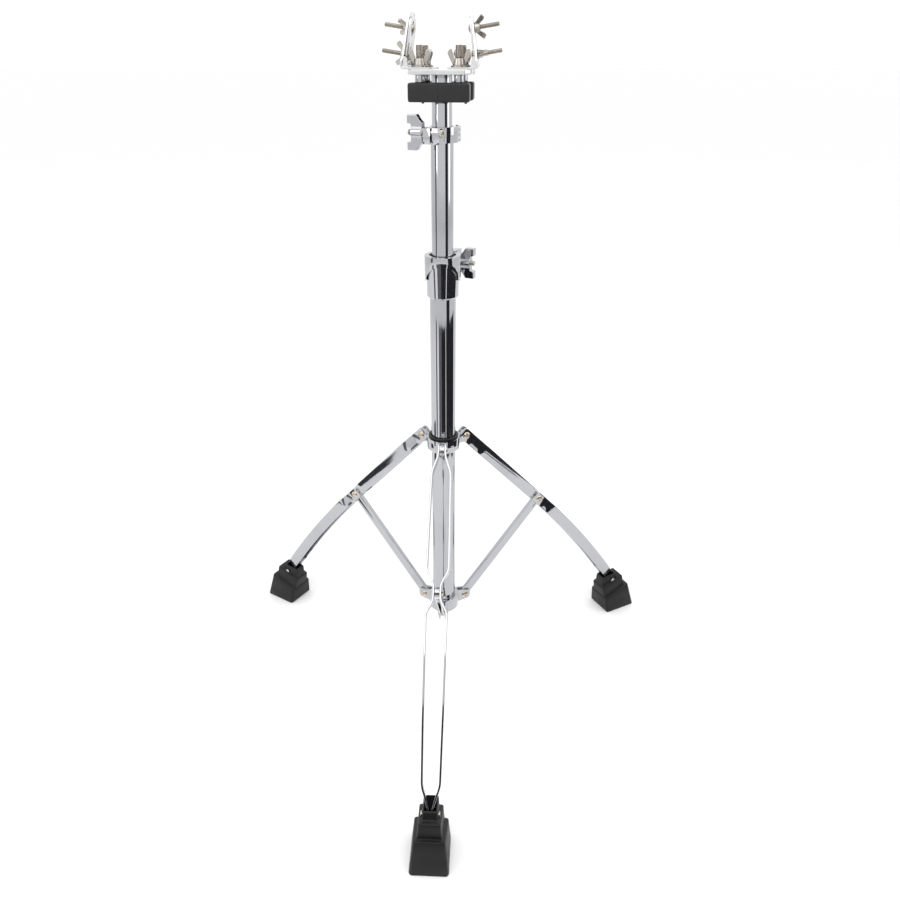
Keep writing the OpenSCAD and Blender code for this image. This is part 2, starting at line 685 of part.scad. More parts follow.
module strut(turn) color("silver") leg_plane(turn) in_plane()
    translate([pivot_r, lug_pivot_z, 0]) rotate([0, 0, 90 - rest_angle]) difference() {
        union() {
            for (u = [0, link_len]) translate([u, 0, 0]) centred_pin(strut_w / 2, eye_t);
            translate([0, -strut_w / 2, -eye_t / 2]) cube([link_len, strut_w, eye_t]);
        }
        translate([14, -strut_w / 2 - 1, strut_wall - eye_t / 2])
            cube([link_len - 28, strut_w + 1 - strut_wall, eye_t - 2 * strut_wall]);
        for (u = [0, link_len]) translate([u, 0, 0]) centred_pin(rivet_r + run, 20);
    }
module front_strut() strut(front);
module right_strut() strut(right);
module left_strut() strut(left);

// ---- Legs ----

module strip_side() {
    bend_steps = 12;
    half = strip_w / 2;
    us = [for (i = [0:bend_steps]) link_len + (leg_end - link_len) * i / bend_steps];
    top = [for (side = [1, -1], a = [0:15:90]) let(turn = a + (side > 0 ? 90 : 180))
        [strip_corner - strip_end, side * (half - strip_corner)] + strip_corner * [cos(turn), sin(turn)]];
    polygon(concat(
        [for (i = [len(us) - 1:-1:0]) [us[i], sag(us[i])] + half * [sin(dip(us[i])), cos(dip(us[i]))]], top,
        [for (u = us) [u, sag(u)] - half * [sin(dip(u)), cos(dip(u))]]));
}

module spread_band(inner, outer) polygon(concat(
    [for (p = spread) [p[0], p[1] + outer]],
    [for (i = [len(spread) - 1:-1:0]) [spread[i][0], spread[i][1] + inner]]));

module leg(turn) color("silver") along_leg(turn) for (s = [0, 1]) mirror([0, 0, s]) difference() {
    intersection() {
        translate([0, 0, -1]) linear_extrude(height = 20) strip_side();
        translate([0, 60, 0]) rotate([90, 0, 0]) linear_extrude(height = 140)
            spread_band(-strip_t / 2, strip_t / 2);
    }
    for (u = [0, link_len]) translate([u, 0, 0]) cylinder(r = rivet_r + run, h = 20);
    foot_screw_place() cylinder(r = screw_r + run, h = 20);
}
module front_leg() leg(front);
module right_leg() leg(right);
module left_leg() leg(left);

module leg_rivets(turn) color("tan") along_leg(turn)
    for (u = [0, link_len]) translate([u, 0, 0]) rivet(pivot_gap + 2 * strip_t);
module front_leg_rivets() leg_rivets(front);
module right_leg_rivets() leg_rivets(right);
module left_leg_rivets() leg_rivets(left);

// ---- Feet ----

module foot_screw_place() translate([screw_u, sag(screw_u), 0]) children();

// One step of a foot: its side outline across the leg and its tapering width.
module step(side, low, w_low, high, w_high) intersection() {
    translate([0, 0, -40]) linear_extrude(height = 80) polygon(side);
    translate([60, 0, 0]) rotate([0, -90, 0]) linear_extrude(height = 120)
        polygon([[-w_low / 2, low], [w_low / 2, low], [w_high / 2, high], [-w_high / 2, high]]);
}

function rise(x, z) = z + x * tan(step_tilt);

module foot_body() {
    half = foot_l / 2;
    step([[-half, 0], [half, 0], [half - 12, rise(half - 12, 37.5)], [-half - 3.5, rise(-half - 3.5, 37.5)]],
        0, foot_w, 44, foot_w - 10);
    step([[-half - 1, 20], [half - 15, 30], [half - 22, rise(half - 22, 58)], [-half - 7, rise(-half - 7, 58)]],
        20, 33, 62, 26);
    step([[-half - 5, 40], [1, 50], [-6.5, mouth_h - 7.5], [-half - 5.3, mouth_h - 10]],
        40, neck_w + 3, mouth_h + 8, neck_w);
}

module foot(turn) color("dimgray") difference() {
    leg_plane(turn) in_plane() translate([foot_r, 0, 0]) intersection() {
        foot_body();
        rotate([-90, 0, 0]) translate([0, 0, -1]) linear_extrude(height = 120) foot_outline();
    }
    along_leg(turn) {
        intersection() {
            translate([0, 0, -20]) linear_extrude(height = 40) mouth_side();
            translate([0, 60, 0]) rotate([90, 0, 0]) linear_extrude(height = 140) {
                spread_band(-20, strip_t / 2 + 0.15);
                mirror([0, 1]) spread_band(-20, strip_t / 2 + 0.15);
            }
        }
        foot_screw_place() centred_pin(screw_r + run, 80);
        foot_screw_place() for (s = [0, 1]) mirror([0, 0, s]) translate([0, 0, 10]) cylinder(r = 4, h = 20);
    }
}

// Foot outline on the floor: rounded outer corners, and long enough inwards for the leaning neck.
module foot_outline() {
    x = foot_l / 2 - foot_corner;
    y = foot_w / 2 - foot_corner;
    inner = -foot_l / 2 - 20;
    rounded = [for (side = [-1, 1], i = [0:5]) let(a = side < 0 ? -90 + i * 18 : i * 18)
        [x + foot_corner * cos(a), side * y + foot_corner * sin(a)]];
    polygon(concat([[inner, -foot_w / 2]], rounded, [[inner, foot_w / 2]]));
}

// The pocket that the strips' ends lie in, open at the mouth and along the top.
module mouth_side() {
    a = neck_u - 14;
    b = leg_end + 0.3;
    half = strip_w / 2 + 0.3;
    dir = dip(leg_end);
    translate([leg_end, sag(leg_end)]) rotate(-dir)
        translate([a - leg_end, -half]) square([b - a, 2 * half]);
}

module front_foot() foot(front);
module right_foot() foot(right);
module left_foot() foot(left);

module foot_screw(turn) color("lightgray") along_leg(turn) foot_screw_place() {
    centred_pin(screw_r, 20 + 2 * eps);
    for (s = [0, 1]) mirror([0, 0, s]) translate([0, 0, 10]) cylinder(r = 3.6, h = 1.6);
}
module front_foot_screw() foot_screw(front);
module right_foot_screw() foot_screw(right);
module left_foot_screw() foot_screw(left);

lower_tube();
lower_collar();
lug_rivets();
height_clamp();
height_clamp_bolt();
height_wing_nut();
lower_bush();
middle_tube();
memory_clamp_rear();
memory_clamp_front();
memory_hinge_pin();
memory_clamp_bolt();
memory_wing_nut();
upper_bush();
top_tube();
head_plate();
front_cushion();
rear_cushion();
cushion_spacers();
cushion_screws();
head_bolts();
head_washers();
front_left_head_nut();
front_right_head_nut();
rear_right_head_nut();
rear_left_head_nut();
left_bracket();
right_bracket();
left_extension();
right_extension();
left_carriage_bolts();
right_carriage_bolts();
left_lower_nut();
left_upper_nut();
right_lower_nut();
right_upper_nut();
leg_collar();
collar_ring();
collar_lock_bolt();
front_strut();
right_strut();
left_strut();
front_leg();
right_leg();
left_leg();
front_leg_rivets();
right_leg_rivets();
left_leg_rivets();
front_foot();
right_foot();
left_foot();
front_foot_screw();
right_foot_screw();
left_foot_screw();
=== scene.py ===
"""Looks of a chromed tripod percussion stand with a bracket head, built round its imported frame.

Lengths in the sizes and in the mesh helpers are millimetres, and each finished mesh is scaled to metres.
"""

import json
import math

import bmesh
import bpy
from bpy.props import FloatProperty, FloatVectorProperty, PointerProperty
from mathutils import Matrix, Vector


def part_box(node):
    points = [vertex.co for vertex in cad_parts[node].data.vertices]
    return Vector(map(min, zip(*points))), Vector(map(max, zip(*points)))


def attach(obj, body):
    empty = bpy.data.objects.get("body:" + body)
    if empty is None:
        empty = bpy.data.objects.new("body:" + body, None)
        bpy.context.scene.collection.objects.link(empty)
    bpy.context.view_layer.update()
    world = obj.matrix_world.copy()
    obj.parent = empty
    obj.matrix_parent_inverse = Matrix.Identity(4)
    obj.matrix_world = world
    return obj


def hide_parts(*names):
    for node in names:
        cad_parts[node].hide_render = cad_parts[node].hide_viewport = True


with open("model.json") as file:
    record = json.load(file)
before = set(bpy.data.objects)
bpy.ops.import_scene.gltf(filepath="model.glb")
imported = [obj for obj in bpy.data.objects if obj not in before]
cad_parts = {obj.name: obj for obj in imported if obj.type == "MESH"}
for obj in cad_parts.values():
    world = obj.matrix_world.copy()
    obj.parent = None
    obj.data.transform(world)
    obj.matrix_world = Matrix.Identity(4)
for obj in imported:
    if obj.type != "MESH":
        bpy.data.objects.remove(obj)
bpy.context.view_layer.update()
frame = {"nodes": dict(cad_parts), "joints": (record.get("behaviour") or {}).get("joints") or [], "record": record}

bl_info = {
    "name": "Percussion Stand",
    "version": (1, 0, 0),
    "blender": (4, 5, 0),
    "location": "View3D > Sidebar > Stand",
    "description": "Builds the chromed tripod stand, its finishes and its studio",
    "category": "Add Mesh",
}

MM = 0.001
UP = Vector((0, 0, 1))
RECORD = frame["record"]
JOINTS = {joint["name"]: joint for joint in frame["joints"]}
BODY_OF = {node: body for body, nodes in RECORD["behaviour"]["bodies"].items() for node in nodes}
SLOT_OF = {part["node"]: part["material_slot"] for part in RECORD["subparts"]}
LEGS = ("front", "right", "left")
HEAD_CORNERS = ("front_left", "front_right", "rear_right", "rear_left")
SIDE_NUTS = tuple(f"{side}_{level}" for side in ("left", "right") for level in ("lower", "upper"))


def length(name, text, default, low=0.0):
    """A size in millimetres that a user can change."""
    return FloatProperty(name=name, description=f"{text}, in millimetres", default=default, min=low)


def colour(name, text, default):
    """A colour that a user can change."""
    return FloatVectorProperty(
        name=name, description=text, default=default, subtype="COLOR", size=3, min=0, max=1)


class StandSizes(bpy.types.PropertyGroup):
    """Sizes of the finer shapes, in millimetres."""

    tube_wall: length("Tube wall", "Wall of the lower and top tubes", 1.5, 0.5)
    lip: length("Tube lip", "Rounding of a tube's end", 0.45, 0.05)
    strip_w: length("Strip width", "Width of a leg strip", 16, 8)
    strip_t: length("Strip thickness", "Thickness of a leg strip", 2.5, 1)
    strip_tail: length("Strip tail", "Length of a strip past its strut pivot", 260, 100)
    strip_bend: length("Strip bend", "Radius of the strip's gentle downward bend", 1500, 500)
    strip_fold: length("Strip fold", "Half length over which a strip's bends are rounded", 4.5, 0.5)
    foot_l: length("Foot length", "Length of a foot on the floor", 54.8, 30)
    foot_edge: length("Foot edge", "Rounding of a foot's steps", 1.6, 0.3)
    cushion_edge: length("Cushion edge", "Rounding of a cushion bar", 2.2, 0.3)
    thread_pitch: length("Large pitch", "Pitch of the head bolts' thread", 1.25, 0.3)
    small_pitch: length("Small pitch", "Pitch of the carriage bolts' thread", 0.8, 0.3)
    press_edge: length("Pressed edge", "Rounding of pressed plate", 0.45, 0.05)
    cast_edge: length("Cast edge", "Rounding of the clamps and collars", 0.8, 0.05)
    grip_voxel: length("Grip grain", "Cell size that a cast grip is remeshed with", 0.42, 0.2)
    nut_voxel: length("Nut grain", "Cell size that a wing nut is remeshed with", 0.3, 0.15)


class StandColours(bpy.types.PropertyGroup):
    """Base colours of the finishes."""

    chrome: colour("Chrome", "Chrome plating", (0.46, 0.465, 0.485))
    # Paler than the chrome: painted reflection, standing in for the white surroundings that the plate's faces
    # mirror.
    plate: colour("Plate", "Chromed plate of the head", (0.70, 0.70, 0.70))
    nickel: colour("Nickel", "Nickel plating of bolts and wing nuts", (0.47, 0.44, 0.40))
    rivet: colour("Rivet", "Passivated rivets", (0.60, 0.53, 0.44))
    rubber: colour("Rubber", "Rubber of the feet", (0.0055, 0.0055, 0.006))
    cushion: colour("Cushion", "Rubber of the cushion bars", (0.014, 0.014, 0.015))
    plastic: colour("Plastic", "Black bushes and ring", (0.005, 0.005, 0.006))
    floor: colour("Floor", "Pale floor", (0.90, 0.90, 0.90))


# ---- Materials ----


def shader_group(name, inputs, outputs):
    """An empty shader node group with those named float inputs and (name, socket type) outputs."""
    group = bpy.data.node_groups.new(name, "ShaderNodeTree")
    for label, default in inputs:
        socket = group.interface.new_socket(label, in_out="INPUT", socket_type="NodeSocketFloat")
        socket.default_value = default
    for label, kind in outputs:
        group.interface.new_socket(label, in_out="OUTPUT", socket_type=kind)
    return group, group.nodes.new("NodeGroupInput"), group.nodes.new("NodeGroupOutput")


def feed(tree, socket, value):
    """Gives a socket a number, or a link from another socket."""
    if isinstance(value, (int, float)):
        socket.default_value = value
    else:
        tree.links.new(value, socket)


def noise(tree, vector, scale, detail=3.0, roughness=0.5):
    """A noise texture on that vector; scale is a number or a socket."""
    node = tree.nodes.new("ShaderNodeTexNoise")
    node.inputs["Detail"].default_value = detail
    node.inputs["Roughness"].default_value = roughness
    tree.links.new(vector, node.inputs["Vector"])
    feed(tree, node.inputs["Scale"], scale)
    return node.outputs["Fac"]


def combine(tree, operation, a, b, clamp=False):
    """A Math node; a and b are numbers or sockets."""
    node = tree.nodes.new("ShaderNodeMath")
    node.operation = operation
    node.use_clamp = clamp
    for socket, value in zip(node.inputs, (a, b)):
        feed(tree, socket, value)
    return node.outputs[0]


def band(tree, value, low, high, to_low=0.0, to_high=1.0):
    """Maps the value's stretch from low to high smoothly onto another stretch."""
    node = tree.nodes.new("ShaderNodeMapRange")
    node.interpolation_type = "SMOOTHSTEP"
    for label, number in (("From Min", low), ("From Max", high), ("To Min", to_low), ("To Max", to_high)):
        feed(tree, node.inputs[label], number)
    tree.links.new(value, node.inputs["Value"])
    return node.outputs["Result"]


def object_coordinates(tree):
    return tree.nodes.new("ShaderNodeTexCoord").outputs["Object"]


def plating_group():
    """The faint orange peel and drawn lines under a plating, and its wiped haze."""
    group, given, out = shader_group(
        "plating", [("Peel Scale", 90.0), ("Line Scale", 900.0), ("Haze Scale", 14.0)],
        [("Height", "NodeSocketFloat"), ("Haze", "NodeSocketFloat")])
    where = object_coordinates(group)
    peel = noise(group, where, given.outputs["Peel Scale"], detail=2.0)
    along = group.nodes.new("ShaderNodeMapping")
    line_stretch, line_share = 0.02, 0.35
    along.inputs["Scale"].default_value = (1, 1, line_stretch)
    group.links.new(where, along.inputs["Vector"])
    lines = noise(group, along.outputs["Vector"], given.outputs["Line Scale"], detail=2.0)
    haze = noise(group, where, given.outputs["Haze Scale"], detail=5.0, roughness=0.62)
    faint_lines = combine(group, "MULTIPLY", lines, line_share)
    group.links.new(combine(group, "ADD", peel, faint_lines), out.inputs["Height"])
    group.links.new(band(group, haze, low=0.48, high=0.78), out.inputs["Haze"])
    return group


def moulded_group():
    """The fine grain of a moulded rubber or plastic, and the dust that settles on faces that look up."""
    group, given, out = shader_group(
        "moulded", [("Grain Scale", 900.0), ("Cloud Scale", 40.0)],
        [("Height", "NodeSocketFloat"), ("Cloud", "NodeSocketFloat"), ("Dust", "NodeSocketFloat")])
    where = object_coordinates(group)
    speck_scale, cloud_share = 1500.0, 0.5
    grain = noise(group, where, given.outputs["Grain Scale"], detail=4.0, roughness=0.65)
    cloud = noise(group, where, given.outputs["Cloud Scale"], detail=4.0, roughness=0.6)
    split = group.nodes.new("ShaderNodeSeparateXYZ")
    group.links.new(group.nodes.new("ShaderNodeNewGeometry").outputs["Normal"], split.inputs["Vector"])
    top = band(group, split.outputs["Z"], low=0.25, high=0.95)
    speck = band(group, noise(group, where, speck_scale, detail=2.0), low=0.62, high=0.72)
    patches = combine(group, "ADD", band(group, cloud, low=0.4, high=0.7), speck)
    dust = combine(group, "MULTIPLY", top, patches, clamp=True)
    swell = combine(group, "MULTIPLY", cloud, cloud_share)
    group.links.new(combine(group, "ADD", grain, swell), out.inputs["Height"])
    group.links.new(band(group, cloud, low=0.3, high=0.7), out.inputs["Cloud"])
    group.links.new(dust, out.inputs["Dust"])
    return group


def new_material(name):
    """A material with an empty Principled shader."""
    material = bpy.data.materials.new(name)
    material.use_nodes = True
    tree = material.node_tree
    return material, tree, tree.nodes["Principled BSDF"]


def place_group(tree, group, **values):
    """Puts a shared group into a material, with its inputs set from keywords such as Peel_Scale."""
    node = tree.nodes.new("ShaderNodeGroup")
    node.node_tree = group
    for label, value in values.items():
        node.inputs[label.replace("_", " ")].default_value = value
    return node


def bump(tree, shader, height, strength, distance):
    node = tree.nodes.new("ShaderNodeBump")
    node.inputs["Strength"].default_value = strength
    node.inputs["Distance"].default_value = distance
    tree.links.new(height, node.inputs["Height"])
    tree.links.new(node.outputs["Normal"], shader.inputs["Normal"])


def blend_colours(tree, factor, first, second):
    """Mixes two colours by a mask."""
    node = tree.nodes.new("ShaderNodeMix")
    node.data_type = "RGBA"
    node.inputs["A"].default_value = (*first, 1)
    node.inputs["B"].default_value = (*second, 1)
    tree.links.new(factor, node.inputs["Factor"])
    return node.outputs["Result"]


def scaled(rgb, share):
    """A colour made darker or paler by a share."""
    return tuple(share * channel for channel in rgb)


def plated(name, group, rgb, polish, haze, peel, strength, peel_scale=90.0, line_scale=900.0, haze_tint=0.86):
    """A plated metal: polish is its roughness where clean, and haze what wiping adds to it."""
    material, tree, shader = new_material(name)
    shader.inputs["Metallic"].default_value = 1.0
    layer = place_group(tree, group, Peel_Scale=peel_scale, Line_Scale=line_scale)
    tint = blend_colours(tree, layer.outputs["Haze"], rgb, scaled(rgb, haze_tint))
    tree.links.new(tint, shader.inputs["Base Color"])
    rough = combine(tree, "ADD", polish, combine(tree, "MULTIPLY", layer.outputs["Haze"], haze))
    tree.links.new(rough, shader.inputs["Roughness"])
    bump(tree, shader, layer.outputs["Height"], strength, peel)
    return material


def moulded(name, group, rgb, roughness, dust_rgb, dust, strength, grain_scale=900.0):
    """A moulded rubber or plastic with a fine grain and a little dust."""
    material, tree, shader = new_material(name)
    layer = place_group(tree, group, Grain_Scale=grain_scale)
    paler, smoother, rougher, grain_deep = 1.35, 0.05, 0.06, 0.0002
    base = blend_colours(tree, layer.outputs["Cloud"], rgb, scaled(rgb, paler))
    mix = tree.nodes.new("ShaderNodeMix")
    mix.data_type = "RGBA"
    mix.inputs["B"].default_value = (*dust_rgb, 1)
    tree.links.new(combine(tree, "MULTIPLY", layer.outputs["Dust"], dust), mix.inputs["Factor"])
    tree.links.new(base, mix.inputs["A"])
    tree.links.new(mix.outputs["Result"], shader.inputs["Base Color"])
    rough = band(tree, layer.outputs["Cloud"], 0.0, 1.0, roughness - smoother, roughness + rougher)
    tree.links.new(rough, shader.inputs["Roughness"])
    shader.inputs["Specular IOR Level"].default_value = 0.28
    bump(tree, shader, layer.outputs["Height"], strength, grain_deep)
    return material


def make_finishes(colours):
    """Every finish of the stand, by the record's slot name."""
    plating, mould = plating_group(), moulded_group()
    return {
        "chrome": plated("chrome", plating, colours.chrome, polish=0.055, haze=0.06, peel=0.00012,
                         strength=0.05),
        # The plate's base colour is paler than the chrome's as painted reflection of bright surroundings; its
        # rougher polish is its own finish.
        "bright_plate": plated("bright_plate", plating, colours.plate, polish=0.16, haze=0.10, peel=0.0002,
                               strength=0.08, peel_scale=160.0),
        "hardware": plated("hardware", plating, colours.nickel, polish=0.17, haze=0.13, peel=0.0003,
                           strength=0.12, peel_scale=420.0, haze_tint=0.7),
        "rivet": plated("rivet", plating, colours.rivet, polish=0.22, haze=0.15, peel=0.0003,
                        strength=0.14, peel_scale=500.0, haze_tint=0.65),
        "foot_rubber": moulded("foot_rubber", mould, colours.rubber, roughness=0.46,
                               dust_rgb=(0.10, 0.10, 0.10), dust=0.12, strength=0.35),
        "cushion_rubber": moulded("cushion_rubber", mould, colours.cushion, roughness=0.42,
                                  dust_rgb=(0.12, 0.12, 0.12), dust=0.1, strength=0.3),
        "black_plastic": moulded("black_plastic", mould, colours.plastic, roughness=0.34,
                                 dust_rgb=(0.1, 0.1, 0.1), dust=0.1, strength=0.15, grain_scale=1400.0),
        "black_screw": plated("black_screw", plating, scaled(colours.nickel, 0.12), polish=0.32, haze=0.2,
                              peel=0.0003, strength=0.2, peel_scale=500.0),
    }


FINISHES = {}


# ---- Mesh helpers ----


def mm_box(node):
    """Lowest and highest corner of a node, in millimetres."""
    low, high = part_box(node)
    return low / MM, high / MM


def joint_place(name):
    """A joint's point in millimetres, and its axis."""
    joint = JOINTS[name]
    return Vector(joint["pos_m"]) / MM, Vector(joint["axis"]).normalized()


def placed(origin, axis, side=None):
    """A matrix whose Z runs along axis from origin, and whose X leans to side."""
    z = Vector(axis).normalized()
    x = Vector(side) if side else (Vector((1, 0, 0)) if abs(z.x) < 0.9 else Vector((0, 1, 0)))
    x = (x - z * x.dot(z)).normalized()
    y = z.cross(x)
    return Matrix.Translation(origin) @ Matrix((x, y, z)).transposed().to_4x4()


def tower():
    """The point on the floor under the tubes' axis."""
    low, high = mm_box("middle_tube")
    return Vector(((low.x + high.x) / 2, (low.y + high.y) / 2, 0))


def arc(centre_r, centre_z, radius, start, end, steps=4):
    """Points of an arc in a lathe's profile, with its angles in degrees."""
    turn = [math.radians(start + (end - start) * i / steps) for i in range(steps + 1)]
    return [(centre_r + radius * math.cos(a), centre_z + radius * math.sin(a)) for a in turn]


def bridge(bm, first, second):
    """Joins two rings of as many vertices by a band of quads."""
    count = len(first)
    for i in range(count):
        j = (i + 1) % count
        bm.faces.new((first[i], first[j], second[j], second[i]))


def lathe(bm, profile, place, steps=72, closed=False):
    """Turns a profile of (radius, height) about the place's Z. An open profile's ends are capped."""
    turn = [2 * math.pi * i / steps for i in range(steps)]
    rings = []
    for radius, height in profile:
        points = [Vector((radius * math.cos(a), radius * math.sin(a), height)) for a in turn]
        rings.append([bm.verts.new(place @ point) for point in points])
    for first, second in zip(rings, rings[1:]):
        bridge(bm, first, second)
    if closed:
        bridge(bm, rings[-1], rings[0])
    else:
        bm.faces.new(list(reversed(rings[0])))
        bm.faces.new(rings[-1])


def turned_ring(bm, place, bore, outer, low, high, edge):
    """A washer or sleeve with a plain bore and rounded outer edges."""
    profile = [(bore, low), *arc(outer - edge, low + edge, edge, 270, 360),
               *arc(outer - edge, high - edge, edge, 0, 90), (bore, high)]
    lathe(bm, profile, place, 64, closed=True)


def loft(bm, loops):
    """Joins loops of points by bands, and caps both ends."""
    rings = [[bm.verts.new(point) for point in loop] for loop in loops]
    for first, second in zip(rings, rings[1:]):
        bridge(bm, first, second)
    bm.faces.new(list(reversed(rings[0])))
    bm.faces.new(rings[-1])


def rounded_loop(half_x, half_y, corner, steps=5):
    """Points round a rectangle with rounded corners, as (x, y)."""
    points = []
    for sign_x, sign_y, start in ((1, 1, 0), (-1, 1, 90), (-1, -1, 180), (1, -1, 270)):
        for i in range(steps + 1):
            a = math.radians(start + 90 * i / steps)
            points.append((sign_x * (half_x - corner) + corner * math.cos(a),
                           sign_y * (half_y - corner) + corner * math.sin(a)))
    return points


def thread(bm, place, radius, start, end, pitch, steps=40, rings_per_turn=6):
    """A threaded rod with a rounded crest and root, and a chamfered tip, capped at both ends."""
    depth, tip_draw = 0.5 * pitch, 0.6
    count = max(2, int((end - start) / pitch * rings_per_turn))
    loops = []
    for k in range(count + 1):
        height = start + (end - start) * k / count
        tip = min(1.0, (end - height) / pitch)
        loop = []
        for i in range(steps):
            a = 2 * math.pi * i / steps
            wave = 0.5 - 0.5 * math.cos(2 * math.pi * (height / pitch - i / steps))
            r = radius - depth * wave - tip_draw * depth * (1 - tip)
            loop.append(place @ Vector((r * math.cos(a), r * math.sin(a), height)))
        loops.append(loop)
    loft(bm, loops)


def evaluated_mesh(obj):
    """The object's mesh with its modifiers applied."""
    bpy.context.view_layer.update()
    graph = bpy.context.evaluated_depsgraph_get()
    return bpy.data.meshes.new_from_object(obj.evaluated_get(graph), depsgraph=graph)


def settle(obj, angle=38):
    """Applies the modifiers and shades smooth, except across edges sharper than the angle."""
    if obj.modifiers:
        mesh = evaluated_mesh(obj)
        obj.modifiers.clear()
        obj.data = mesh
    obj.data.shade_smooth()
    obj.data.set_sharp_from_angle(angle=math.radians(angle))


def put(obj, nodes):
    """Rides the piece on its nodes' body, stands it in for them and gives it their slot's finish."""
    slot = SLOT_OF[nodes[0]]
    obj.data.materials.clear()
    obj.data.materials.append(FINISHES[slot])
    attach(obj, BODY_OF[nodes[0]])
    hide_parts(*nodes)


def link(name, mesh):
    obj = bpy.data.objects.new(name, mesh)
    bpy.context.scene.collection.objects.link(obj)
    return obj


def made(name, bm, *nodes, angle=38):
    """Turns a mesh built in millimetres into a finished piece."""
    bmesh.ops.recalc_face_normals(bm, faces=bm.faces)
    bmesh.ops.scale(bm, vec=(MM, MM, MM), verts=bm.verts)
    mesh = bpy.data.meshes.new(name)
    bm.to_mesh(mesh)
    bm.free()
    obj = link(name, mesh)
    settle(obj, angle)
    put(obj, nodes)


def add_bevel(obj, width):
    modifier = obj.modifiers.new("edge", "BEVEL")
    modifier.width = width * MM
    modifier.segments = 3
    modifier.limit_method = "ANGLE"
    modifier.angle_limit = math.radians(32)
    modifier.use_clamp_overlap = True


def copy_of(name, node):
    """A separate copy of a frame node's mesh, with its flat faces merged."""
    bm = bmesh.new()
    bm.from_mesh(frame["nodes"][node].data)
    bmesh.ops.remove_doubles(bm, verts=bm.verts, dist=0.002 * MM)
    bmesh.ops.dissolve_limit(bm, angle_limit=math.radians(0.6), verts=bm.verts, edges=bm.edges)
    mesh = bpy.data.meshes.new(name)
    bm.to_mesh(mesh)
    bm.free()
    return link(name, mesh)


def softened(name, node, width):
    """A pressed or machined piece: the node's shape with its edges rounded."""
    obj = copy_of(name, node)
    add_bevel(obj, width)
    settle(obj)
    put(obj, [node])


def cast(name, node, voxel, rounds):
    """A cast piece: the node's shape remeshed and relaxed, so that every edge and root is round."""
    obj = copy_of(name, node)
    remesh = obj.modifiers.new("cast", "REMESH")
    remesh.mode = "VOXEL"
    remesh.voxel_size = voxel * MM
    relax = obj.modifiers.new("relax", "SMOOTH")
    relax.factor = 0.5
    relax.iterations = rounds
    settle(obj, angle=180)
    put(obj, [node])


def refinish(*nodes):
    """Frame nodes that keep their shape get their slot's finish."""
    for node in nodes:
        obj = frame["nodes"][node]
        obj.data.materials.clear()
        obj.data.materials.append(FINISHES[SLOT_OF[node]])


# ---- Tubes and their fittings ----


def tube(name, node, wall, lip):
    """A drawn tube with rounded lips at both ends."""
    low, high = mm_box(node)
    outer = (high.x - low.x) / 2
    inner = outer - wall
    profile = [(inner, low.z + lip), *arc(inner + lip, low.z + lip, lip, 180, 270),
               *arc(outer - lip, low.z + lip, lip, 270, 360),
               *arc(outer - lip, high.z - lip, lip, 0, 90), *arc(inner + lip, high.z - lip, lip, 90, 180)]
    bm = bmesh.new()
    lathe(bm, profile, Matrix.Translation(tower()), 128, closed=True)
    made(name, bm, node, angle=60)


class StandOperator(bpy.types.Operator):
    """Common form of the stand's operators."""

    bl_options = {"REGISTER", "UNDO"}


class STAND_OT_tubes(StandOperator):
    """Builds the lower, middle and top tubes"""

    bl_idname = "stand.tubes"
    bl_label = "Tubes"

    def execute(self, context):
        sizes = context.scene.stand_sizes
        tube("lower_tube_drawn", "lower_tube", sizes.tube_wall, sizes.lip)
        low, high = mm_box("middle_tube")
        inner, outer = mm_box("top_tube")
        gap = 0.3
        wall = (high.x - low.x - (outer.x - inner.x)) / 2 - gap
        tube("middle_tube_drawn", "middle_tube", wall, sizes.lip)
        tube("top_tube_drawn", "top_tube", sizes.tube_wall, sizes.lip)
        return {"FINISHED"}


class STAND_OT_collars(StandOperator):
    """Builds the cup with its lugs, the sliding leg collar and its ring"""

    bl_idname = "stand.collars"
    bl_label = "Collars"

    def execute(self, context):
        sizes = context.scene.stand_sizes
        softened("cup_with_lugs", "lower_collar", sizes.cast_edge * 0.6)
        softened("sliding_collar", "leg_collar", sizes.cast_edge)
        low, high = mm_box("collar_ring")
        outer, half = (high.x - low.x) / 2, (high.z - low.z) / 2
        edge, gap = 1.1, 0.3
        bore = (mm_box("lower_tube")[1].x - mm_box("lower_tube")[0].x) / 2 + gap
        top, bottom = high.z - edge, low.z + edge
        profile = [*arc(outer - edge, bottom, edge, 270, 360), *arc(outer - edge, top, edge, 0, 90),
                   *arc(bore + edge, top, edge, 90, 180), *arc(bore + edge, bottom, edge, 180, 270)]
        bm = bmesh.new()
        lathe(bm, profile, Matrix.Translation(tower()), 96, closed=True)
        made("collar_buffer_ring", bm, "collar_ring", angle=80)
        return {"FINISHED"}


class STAND_OT_clamps(StandOperator):
    """Builds the height clamp and the two halves of the memory clamp"""

    bl_idname = "stand.clamps"
    bl_label = "Clamps"

    def execute(self, context):
        sizes = context.scene.stand_sizes
        softened("height_clamp_cast", "height_clamp", sizes.cast_edge)
        for half in ("rear", "front"):
            softened(f"memory_clamp_{half}_cast", f"memory_clamp_{half}", sizes.cast_edge * 0.6)
        refinish("lower_bush", "upper_bush", "memory_hinge_pin")
        return {"FINISHED"}


